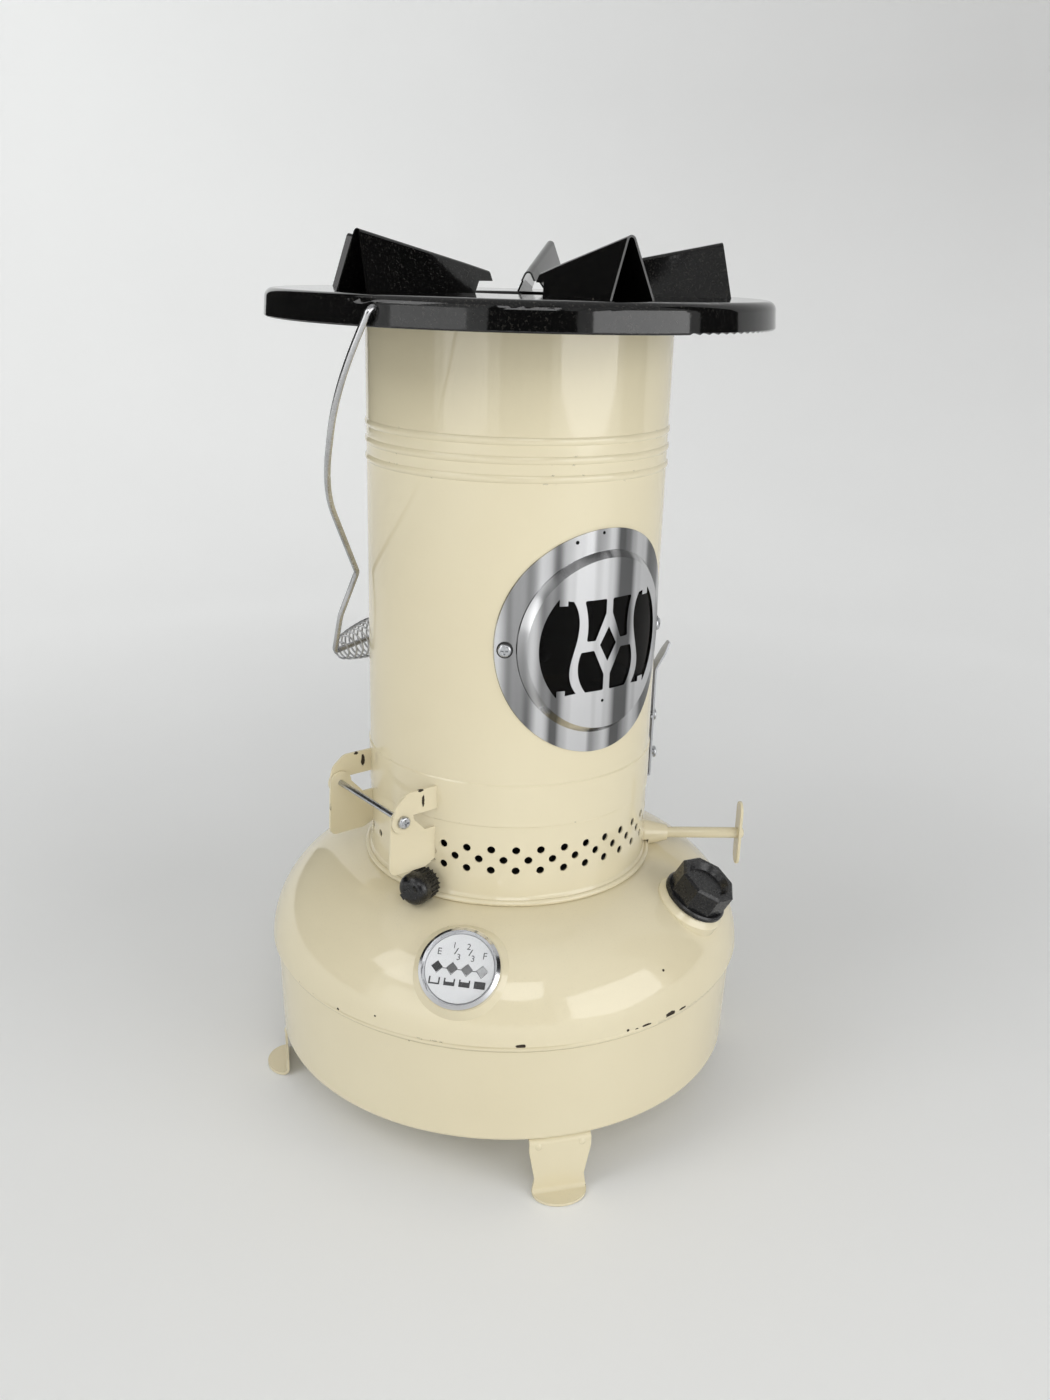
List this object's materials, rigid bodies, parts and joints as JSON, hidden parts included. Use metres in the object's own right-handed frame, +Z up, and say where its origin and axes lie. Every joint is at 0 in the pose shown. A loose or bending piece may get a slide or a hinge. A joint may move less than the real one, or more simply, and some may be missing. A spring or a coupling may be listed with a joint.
{
  "type": "paraffin heater",
  "caption": "Round-wick paraffin heater: enamelled tank on feet, perforated collar, hinged drum with window, hob plate with pan supports and a bail handle.",
  "frame": {"origin": "on the floor under the upright axis of the tank and drum", "axes": "+Z up along the axis of tank and drum; the window faces -Y; +X is to the right as seen from the window side"},
  "size_m": [0.278, 0.278, 0.4845],
  "materials": {
    "cream_enamel": "gloss stove enamel, cream",
    "black_enamel": "gloss black stove enamel",
    "bright_aluminium": "brushed and polished",
    "plated_steel": "zinc plated",
    "drawn_wire": "plated wire",
    "burner_steel": "heat-blackened steel",
    "brass": "plain",
    "wick_cotton": "woven",
    "cork": "plain",
    "mica": "clear mica",
    "lens": "clear",
    "chrome_bezel": "polished",
    "dial_face": "silver white print ground",
    "indicator_disc": "black",
    "black_plastic": "moulded black",
    "seal": "matt"
  },
  "bodies": {
    "base": {"tank_lower_shell": "cream_enamel", "tank_upper_shell": "cream_enamel", "foot_front": "cream_enamel", "foot_left": "cream_enamel", "foot_right": "cream_enamel", "foot_rear": "cream_enamel", "draught_tube": "burner_steel", "outer_wick_tube": "burner_steel", "burner_plate": "burner_steel", "burner_deck": "burner_steel", "flame_spreader": "burner_steel", "gallery_ring": "cream_enamel", "winder_gland": "cream_enamel", "hinge_bracket_lower": "cream_enamel", "hinge_pin": "plated_steel", "hinge_pin_screws": "plated_steel", "gauge_bezel": "chrome_bezel", "gauge_lens": "lens", "gauge_dial": "dial_face", "gauge_stem": "brass", "filler_neck": "cream_enamel"},
    "drum": {"drum_shell": "cream_enamel", "top_plate": "black_enamel", "pan_support_1": "black_enamel", "pan_support_2": "black_enamel", "pan_support_3": "black_enamel", "pan_support_4": "black_enamel", "pan_support_5": "black_enamel", "window_guard": "bright_aluminium", "mica_window": "mica", "window_screws": "plated_steel", "hinge_bracket_upper": "cream_enamel", "inner_chimney": "burner_steel", "chimney_shelf": "burner_steel", "flame_baffle": "burner_steel", "latch_screws": "plated_steel", "latch_boss": "plated_steel", "latch_spring": "plated_steel"},
    "bail": {"bail_wire": "drawn_wire", "bail_grip": "plated_steel"},
    "latch": {"latch_lever": "plated_steel"},
    "winder": {"winder_spindle": "cream_enamel", "winder_pinion": "brass", "winder_key": "cream_enamel", "winder_rivet": "cream_enamel"},
    "wick_carrier": {"wick": "wick_cotton", "wick_sleeve": "burner_steel"},
    "lock_knob": {"lock_knob": "black_plastic", "lock_screw": "plated_steel"},
    "cap_slider": {"cap_gasket": "seal"},
    "cap": {"filler_cap": "black_plastic"},
    "float": {"float_arm": "brass", "float_ball": "cork"},
    "indicator": {"gauge_indicator": "indicator_disc"}
  },
  "joints": [
    {"name": "drum_tilt", "type": "hinge", "parent": "base", "child": "drum", "pos_m": [-0.09489, -0.00464, 0.1945], "axis": [0.0489, -0.9988, 0], "range_deg": [0, 90]},
    {"name": "bail_swing", "type": "hinge", "parent": "drum", "child": "bail", "pos_m": [0, 0, 0.4515], "axis": [0.9003, 0.4352, 0], "range_deg": [0, 306]},
    {"name": "latch_press", "type": "hinge", "parent": "drum", "child": "latch", "pos_m": [0.07297, -0.03913, 0.224], "axis": [-0.4726, -0.8813, 0], "range_deg": [0, 4], "stiffness_Nm_per_rad": 0.6, "springref_deg": -8.59},
    {"name": "winder_turn", "type": "hinge", "parent": "base", "child": "winder", "pos_m": [0, 0, 0.1515], "axis": [0.8368, -0.5476, 0], "range_deg": [0, 238]},
    {"name": "wick_lift", "type": "slide", "parent": "base", "child": "wick_carrier", "axis": [0, 0, 1], "range_m": [0, 0.0249]},
    {"name": "lock_turn", "type": "hinge", "parent": "base", "child": "lock_knob", "pos_m": [-0.07707, -0.03464, 0.1545], "axis": [-0.9121, -0.4099, 0], "range_deg": [0, 540]},
    {"name": "cap_lift", "type": "slide", "parent": "base", "child": "cap_slider", "axis": [0.2276, -0.4281, 0.8746], "range_m": [0, 0.03]},
    {"name": "cap_turn", "type": "hinge", "parent": "cap_slider", "child": "cap", "pos_m": [0.05465, -0.10278, 0.1342], "axis": [0.2276, -0.4281, 0.8746], "range_deg": [0, 540]},
    {"name": "float_swing", "type": "hinge", "parent": "base", "child": "float", "pos_m": [-0.07456, -0.07251, 0.092], "axis": [-0.7169, -0.6972, 0], "range_deg": [0, 65]},
    {"name": "indicator_turn", "type": "hinge", "parent": "base", "child": "indicator", "pos_m": [-0.08775, -0.08533, 0.129], "axis": [-0.5025, -0.4886, 0.7133], "range_deg": [0, 66]}
  ],
  "couplings": [
    {"joint": "winder_turn", "follows": "wick_lift", "rad_per_m": 166.67},
    {"joint": "indicator_turn", "follows": "float_swing", "ratio": 1}
  ]
}
